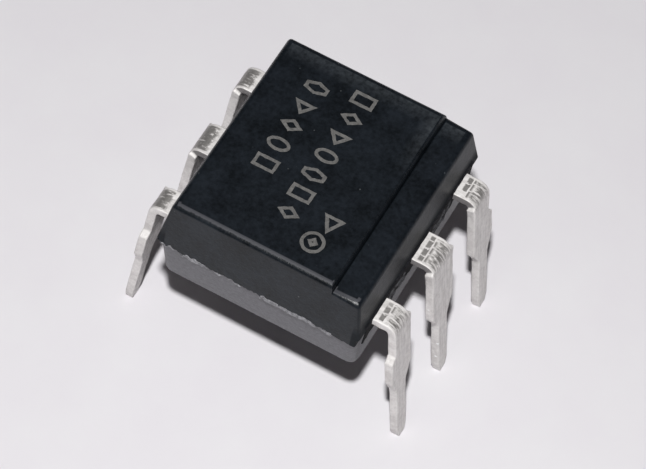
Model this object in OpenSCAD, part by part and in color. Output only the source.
// A dual-in-line integrated circuit chip that stands on the tips of its six bent leads.
// All sizes are in millimetres. +X points to the lead row beside the lowered strip of the top,
// +Y runs along the rows, away from lead 1, and +Z points up. The lead tips stand on z = 0.

/* [Black moulding] */
// length of the body along the lead rows, at the parting line
body_l = 7.26; // [6.8:0.02:9.8]
// width of the body across the lead rows, at the parting line
body_w = 6.47; // [6:0.02:7]
// height of the parting line above the lead tips
parting_z = 5.48; // [4.5:0.05:6.5]
// height of the body above the parting line
upper_h = 1.57; // [1.2:0.05:2]
// height of the body below the parting line
lower_h = 1.88; // [1.5:0.05:2.2]
// how far each upper side leans in over its height
upper_inset = 0.28; // [0.1:0.01:0.5]
// how far the two long lower sides lean in over their height
side_inset = 0.12; // [0.05:0.01:0.4]
// how far the two lower ends lean in over their height
end_inset = 0.3; // [0.1:0.01:0.5]
// flat cut along the upright corners of the body
corner_cut = 0.12; // [0.05:0.01:0.4]
// small flat cut along the top edges
edge_cut = 0.06; // [0.02:0.01:0.15]
// flat cut along the bottom edges
base_cut = 0.1; // [0.02:0.01:0.2]
// how far the thin rim of flash stands out at the parting line
flash_w = 0.03; // [0.01:0.01:0.08]
// thickness of the rim of flash
flash_h = 0.06; // [0.02:0.01:0.15]
// how far the moulding sits off the middle of the leads, towards the row opposite the strip
mould_off = 0.04; // [0:0.01:0.1]

/* [Top and underside] */
// distance from the middle of the body to the small step in the top
strip_x = 2.06; // [1.5:0.02:2.6]
// how much lower the strip beside the step lies
strip_drop = 0.21; // [0.05:0.01:0.3]
// diameter of the round ejector mark in the underside
ejector_d = 1.4; // [0.8:0.1:2]
// depth of the ejector mark
ejector_depth = 0.05; // [0.02:0.01:0.15]

/* [Leads] */
// distance between two neighbouring leads of a row
pitch = 2.54; // [2:0.01:3]
// thickness of the lead metal
lead_t = 0.26; // [0.2:0.01:0.35]
// width of the narrow pin end of a lead
pin_w = 0.53; // [0.4:0.01:0.6]
// width of the wide shoulder of a middle lead
shoulder_w = 1.2; // [0.9:0.01:1.5]
// distance from a corner lead's centre line to the outer edge of its shoulder
corner_half = 0.3; // [0.26:0.01:0.56]
// distance from a corner lead's centre line to the outer edge of its leg, above the pin
corner_leg = 0.52; // [0.4:0.01:0.6]
// height at which the outer edge of a corner lead reaches that width
flare_z = 4.1; // [3.8:0.05:4.6]
// height over which it widens
flare_h = 0.25; // [0.1:0.05:0.4]
// length of the straight shoulder between the body and the bend
shoulder_reach = 0.35; // [0.2:0.01:0.8]
// radius on the inside of the bend
bend_r = 0.12; // [0.08:0.01:0.3]
// angle by which the legs splay outwards
splay = 6.8; // [0:0.1:12]
// height at which the lead becomes as narrow as its pin
pin_z = 2.3; // [1.5:0.05:3]
// height over which the lead narrows
taper_h = 0.8; // [0.4:0.05:1.5]
// height of the wider piece left where the bar between the leads was cut
stub_h = 0.5; // [0.2:0.05:0.8]
// how far that piece stands out on each side
stub_out = 0.02; // [0.01:0.01:0.12]
// width of the lead tip
tip_w = 0.32; // [0.2:0.01:0.45]
// height of the cut corners of the tip
tip_h = 0.42; // [0.1:0.01:0.6]

/* [Pieces inside] */
// length of the white inner moulding along the rows
inner_l = 6; // [5:0.1:6.2]
// width of the white inner moulding
inner_w = 4.4; // [3.6:0.1:4.8]
// height of the inner moulding above the parting line
inner_up = 1.18; // [1:0.02:1.3]
// height of the inner moulding below the parting line
inner_down = 1.15; // [0.6:0.05:1.4]
// how far the inner moulding's sides lean in, above and below
inner_lean = 0.22; // [0.1:0.01:0.4]
// radius of the clear drop where it sits on the leads
drop_r = 1.65; // [1.4:0.05:1.8]
// height of the clear drop
drop_h = 0.85; // [0.6:0.05:0.95]
// distance from the middle of the body to the middle of each chip
die_x = 0.8; // [0.6:0.05:1]
// side length of the light source chip
emitter_w = 0.3; // [0.2:0.02:0.5]
// height of the light source chip
emitter_h = 0.15; // [0.1:0.01:0.25]
// side length of the detector chip
sensor_w = 0.7; // [0.5:0.02:0.8]
// height of the detector chip
sensor_h = 0.2; // [0.1:0.01:0.3]
// thickness of the adhesive under each chip
glue_h = 0.03; // [0.01:0.01:0.05]
// thickness of the bond wires
wire_t = 0.03; // [0.02:0.01:0.05]
// gap between the inner ends of neighbouring leads
lead_gap = 0.27; // [0.2:0.01:0.4]

/* [Hidden] */
top_z = parting_z + upper_h;
base_z = parting_z - lower_h;
lead_top = parting_z + lead_t / 2;
lead_low = parting_z - lead_t / 2;
// inner ends of the leads
root_x = 2.7;          // where the lead becomes its inner strip, inside the black moulding
pad_half = 0.45;       // half width of the strip that carries a chip
arm_near = pad_half + lead_gap;
arm_w = 0.45;
wire_reach = arm_near + arm_w / 2;
// bend and leg
bend_x = body_w / 2 + shoulder_reach;
bend_z = lead_low - bend_r;
bend_out = bend_r + lead_t;
leg_l = (bend_z + bend_r * sin(splay)) / cos(splay);
drop_ball_r = (drop_r * drop_r + drop_h * drop_h) / (2 * drop_h);
emitter_top = lead_top + glue_h + emitter_h;
sensor_top = lead_top + glue_h + sensor_h;
wire_rise = 0.14;      // how high a wire's arch stands over its chip
cut_over = 0.05;       // how far a cutting shape runs on past the face that it opens

// Outline of a block seen from one side: widest at its middle height, leaning in above and below.
function leaning_outline(half, low, mid, high, in_low, in_high, cut_low, cut_high) = [
    [-half + in_low + cut_low, low], [half - in_low - cut_low, low],
    [half - in_low, low + cut_low], [half, mid], [half - in_high, high - cut_high],
    [half - in_high - cut_high, high], [-half + in_high + cut_high, high],
    [-half + in_high, high - cut_high], [-half, mid], [-half + in_low, low + cut_low]];

// A block that leans in on all four sides, with its upright corners cut. in_side and in_end are
// the lower half's lean on the sides facing X and on the ends facing Y.
module leaning_block(w, l, low, mid, high, in_side, in_end, in_high, cut_low, cut_high, corner) {
    slant = (w / 2 + l / 2 - corner) / sqrt(2);
    slant_low = (in_side + in_end) / sqrt(2);
    slant_high = in_high * sqrt(2);
    intersection() {
        rotate([90, 0, 0]) linear_extrude(height = l + 2, center = true)
            polygon(leaning_outline(w / 2, low, mid, high, in_side, in_high, cut_low, cut_high));
        rotate([90, 0, 90]) linear_extrude(height = w + 2, center = true)
            polygon(leaning_outline(l / 2, low, mid, high, in_end, in_high, cut_low, cut_high));
        for (turn = [45, -45]) rotate([90, 0, turn])
            linear_extrude(height = w + l, center = true)
            polygon(leaning_outline(slant, low, mid, high, slant_low, slant_high, cut_low, cut_high));
    }
}

// The thin rim of flash that the two mould halves leave around the body.
module flash_rim() {
    x = body_w / 2 + flash_w;
    y = body_l / 2 + flash_w;
    c = corner_cut + flash_w / 2;
    translate([0, 0, parting_z - flash_h / 2]) linear_extrude(height = flash_h)
        polygon([[x, -y + c], [x, y - c], [x - c, y], [-x + c, y],
                 [-x, y - c], [-x, -y + c], [-x + c, -y], [x - c, -y]]);
}

module inner_form() {
    leaning_block(inner_w, inner_l, parting_z - inner_down, parting_z, parting_z + inner_up,
                  inner_lean, inner_lean, inner_lean, edge_cut, edge_cut, corner_cut);
}

// Side view of a lead of the +X row: straight shoulder, bend and splayed leg.
module lead_side() {
    translate([root_x - 0.1, lead_low]) square([bend_x - root_x + 0.1, lead_t]);
    translate([bend_x, bend_z]) {
        intersection() {
            difference() {
                circle(r = bend_out, $fn = 96);
                circle(r = bend_r, $fn = 96);
            }
            translate([0, -bend_out]) square([2 * bend_out, 3 * bend_out]);
            rotate(splay) translate([-2 * bend_out, 0]) square([4 * bend_out, 2 * bend_out]);
        }
        rotate(splay) translate([bend_r, -leg_l]) square([lead_t, leg_l]);
    }
}

// One edge of a lead, seen along X, from the shoulder down to the tip. half is the shoulder's half
// width on that side, leg the half width of the leg below it.
function lead_edge(half, leg) = [
    [half, lead_top + 1],
    [half, flare_z + flare_h],
    [leg, flare_z],
    [leg, pin_z + taper_h + stub_h + 0.05],
    [leg + stub_out, pin_z + taper_h + stub_h],
    [leg + stub_out, pin_z + taper_h],
    [leg, pin_z + taper_h - 0.05],
    [pin_w / 2, pin_z], [pin_w / 2, tip_h], [tip_w / 2, 0], [tip_w / 2, -1]];

inner_edge = lead_edge(shoulder_w / 2, shoulder_w / 2);
corner_edge = lead_edge(corner_half, corner_leg);

function flipped(points) = [for (i = [len(points) - 1:-1:0]) [-points[i][0], points[i][1]]];

// The outer part of a lead of the +X row. edge_low and edge_high are its edges towards -Y and +Y.
module lead_outside(edge_low, edge_high) {
    intersection() {
        rotate([90, 0, 0]) linear_extrude(height = 2 * shoulder_w, center = true) lead_side();
        rotate([90, 0, 90]) linear_extrude(height = 8)
            polygon(concat(edge_high, flipped(edge_low)));
    }
}

// A flat strip of lead metal at the parting line.
module strip(points) {
    translate([0, 0, lead_low]) linear_extrude(height = lead_t) polygon(points);
}

// A corner lead: its arm reaches in beside the chip, where the bond wire lands. It is drawn for
// the corner at +X -Y.
module corner_lead_with_arm() {
    out = -pitch - corner_half;
    in = -pitch + shoulder_w / 2;
    union() {
        translate([0, -pitch, 0]) lead_outside(corner_edge, inner_edge);
        strip([[root_x, out], [root_x, in], [root_x - 0.5, in], [die_x + 0.75, -arm_near],
               [die_x - 0.3, -arm_near], [die_x - 0.3, -arm_near - arm_w],
               [die_x + 0.45, -arm_near - arm_w], [root_x - 0.8, out + 0.3],
               [root_x - 0.5, out + 0.3], [root_x - 0.25, out]]);
    }
}

// The corner lead that is connected to nothing: it ends in a hook that holds it in the moulding.
module corner_lead_with_hook() {
    out = pitch + corner_half;
    in = pitch - shoulder_w / 2;
    union() {
        translate([0, pitch, 0]) lead_outside(inner_edge, corner_edge);
        strip([[root_x, in], [root_x, out], [root_x - 0.25, out], [root_x - 0.5, out - 0.2],
               [root_x - 1.3, out - 0.2], [root_x - 1.3, in - 0.5], [root_x - 0.9, in - 0.5],
               [root_x - 0.9, in + 0.2], [root_x - 0.5, in + 0.2], [root_x - 0.25, in]]);
    }
}

// A middle lead: behind its neck it widens into the pad that carries a chip.
module middle_lead() {
    half = shoulder_w / 2;
    neck = half - 0.22;
    union() {
        lead_outside(inner_edge, inner_edge);
        strip([[root_x, -half], [root_x, half], [root_x - 0.25, half], [root_x - 0.45, neck],
               [die_x + 0.75, neck], [die_x + 0.6, pad_half], [die_x - 0.5, pad_half],
               [die_x - 0.5, -pad_half], [die_x + 0.6, -pad_half], [die_x + 0.75, -neck],
               [root_x - 0.45, -neck], [root_x - 0.25, -half]]);
    }
}

module leads() {
    lead_1();
    lead_2();
    lead_3();
    lead_4();
    lead_5();
    lead_6();
}

module lead_1() color([0.78, 0.77, 0.76]) corner_lead_with_arm();
module lead_2() color([0.78, 0.77, 0.76]) middle_lead();
module lead_3() color([0.78, 0.77, 0.76]) corner_lead_with_hook();
module lead_4() color([0.78, 0.77, 0.76]) mirror([1, 0, 0]) mirror([0, 1, 0]) corner_lead_with_arm();
module lead_5() color([0.78, 0.77, 0.76]) mirror([1, 0, 0]) middle_lead();
module lead_6() color([0.78, 0.77, 0.76]) mirror([1, 0, 0]) corner_lead_with_arm();

// The black moulding before the leads and the white inner moulding are taken out of it.
module body_form() {
    difference() {
        union() {
            leaning_block(body_w, body_l, base_z, parting_z, top_z,
                          side_inset, end_inset, upper_inset, base_cut, edge_cut, corner_cut);
            flash_rim();
        }
        translate([strip_x, -body_l, top_z - strip_drop]) cube([body_w, 2 * body_l, 1]);
        translate([0, 0, base_z - 1]) cylinder(h = 1 + ejector_depth, d = ejector_d, $fn = 96);
    }
}

module body() color([0.11, 0.12, 0.13]) {
    difference() {
        translate([-mould_off, 0, 0]) body_form();
        inner_form();
        leads();
    }
}

module inner_mould() color([0.9, 0.9, 0.87]) {
    difference() {
        inner_form();
        drop_form();
        leads();
    }
}

// The drop of clear silicone, before anything is taken out of it.
module drop_form() {
    intersection() {
        translate([0, 0, lead_top + drop_h - drop_ball_r]) sphere(r = drop_ball_r, $fn = 96);
        translate([-drop_r - 1, -drop_r - 1, lead_top]) cube([2 * drop_r + 2, 2 * drop_r + 2, 2]);
    }
}

// The drop leaves room for the chips, their adhesive and the wires. The shapes that make the room
// run on into the leads and the chips by cut_over, so that each wire's passage is open at both ends.
module clear_drop() color([0.85, 0.88, 0.9, 0.5]) {
    low = lead_top - cut_over;
    difference() {
        drop_form();
        square_chip(die_x, emitter_w, low, emitter_top - low);
        square_chip(-die_x, sensor_w, low, sensor_top - low);
        mirror([0, 1, 0]) bond_wire(die_x, 0, emitter_top, cut_over);
        mirror([0, 1, 0]) bond_wire(-die_x, sensor_w / 4, sensor_top, cut_over);
        bond_wire(-die_x, sensor_w / 4, sensor_top, cut_over);
    }
}

module square_chip(x, side, low, height) {
    translate([x - side / 2, -side / 2, low]) cube([side, side, height]);
}

module emitter_glue() color([0.7, 0.7, 0.68]) square_chip(die_x, emitter_w, lead_top, glue_h);
module sensor_glue() color([0.7, 0.7, 0.68]) square_chip(-die_x, sensor_w, lead_top, glue_h);
module emitter_die() color([0.55, 0.3, 0.25])
    square_chip(die_x, emitter_w, lead_top + glue_h, emitter_h);
module sensor_die() color([0.3, 0.32, 0.4])
    square_chip(-die_x, sensor_w, lead_top + glue_h, sensor_h);

// A bond wire from the top of a chip at y = start to the arm of a lead at y = wire_reach. over is
// how far both its feet run on downwards, where the shape cuts its own room.
module bond_wire(x, start, chip_top, over = 0) {
    h = wire_t / 2;
    rise = chip_top + wire_rise;
    foot = lead_top + 0.12;
    translate([x - h, 0, 0]) rotate([90, 0, 90]) linear_extrude(height = wire_t)
        polygon([[start - h, chip_top - over], [start + h, chip_top - over],
                 [start + h, rise - 3 * h], [start + 4 * h, rise - h],
                 [wire_reach - 0.3, rise - h], [wire_reach - h, foot],
                 [wire_reach - h, lead_top - over], [wire_reach + h, lead_top - over],
                 [wire_reach + h, foot + h], [wire_reach - 0.3 + h, rise + h],
                 [start + 2 * h, rise + h], [start - h, rise - 2 * h]]);
}

module emitter_wire() color([0.85, 0.68, 0.3]) mirror([0, 1, 0]) bond_wire(die_x, 0, emitter_top);
module sensor_wire_near() color([0.85, 0.68, 0.3])
    mirror([0, 1, 0]) bond_wire(-die_x, sensor_w / 4, sensor_top);
module sensor_wire_far() color([0.85, 0.68, 0.3]) bond_wire(-die_x, sensor_w / 4, sensor_top);

body();
lead_1();
lead_2();
lead_3();
lead_4();
lead_5();
lead_6();
inner_mould();
clear_drop();
emitter_die();
sensor_die();
emitter_glue();
sensor_glue();
emitter_wire();
sensor_wire_near();
sensor_wire_far();
